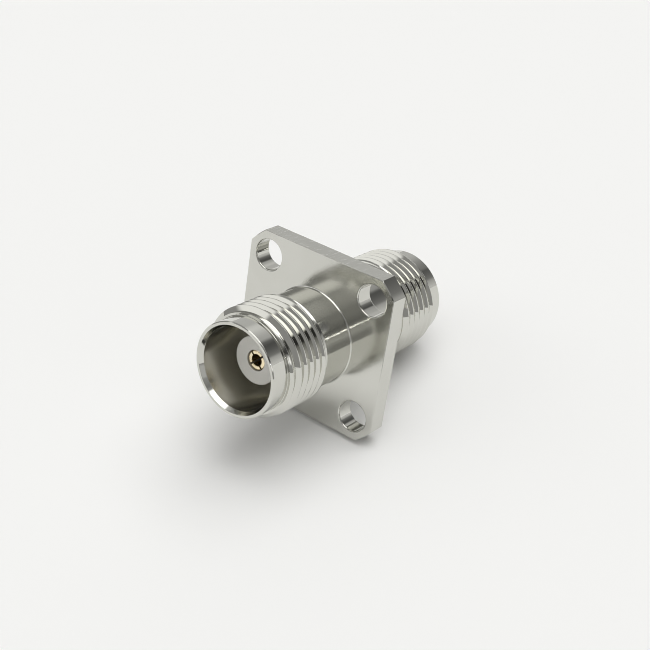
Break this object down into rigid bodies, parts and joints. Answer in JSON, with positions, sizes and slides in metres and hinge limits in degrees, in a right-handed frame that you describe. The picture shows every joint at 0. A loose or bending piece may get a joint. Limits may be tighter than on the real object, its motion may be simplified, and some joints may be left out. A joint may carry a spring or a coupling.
{
  "type": "flanged coaxial adapter",
  "caption": "Straight coaxial adapter: a threaded female jack on each side of a square panel flange, with insulated slotted sockets on one axis.",
  "frame": {"origin": "on the coaxial axis in the flange's back face, which seats on the panel", "axes": "+Y along the coaxial axis towards the long rear jack, -Y towards the short front jack, +X and +Z along the flange's sides"},
  "size_m": [0.0176, 0.0277, 0.0176],
  "materials": {
    "nickel_plate": "bright nickel plate over turned brass",
    "fluoropolymer": "satin white insulator",
    "gold_plate": "bright gold plate over copper alloy"
  },
  "bodies": {
    "root": {"main_body": "nickel_plate", "rear_shell": "nickel_plate", "front_insulator": "fluoropolymer", "rear_insulator": "fluoropolymer", "centre_contact": "gold_plate"}
  },
  "joints": []
}
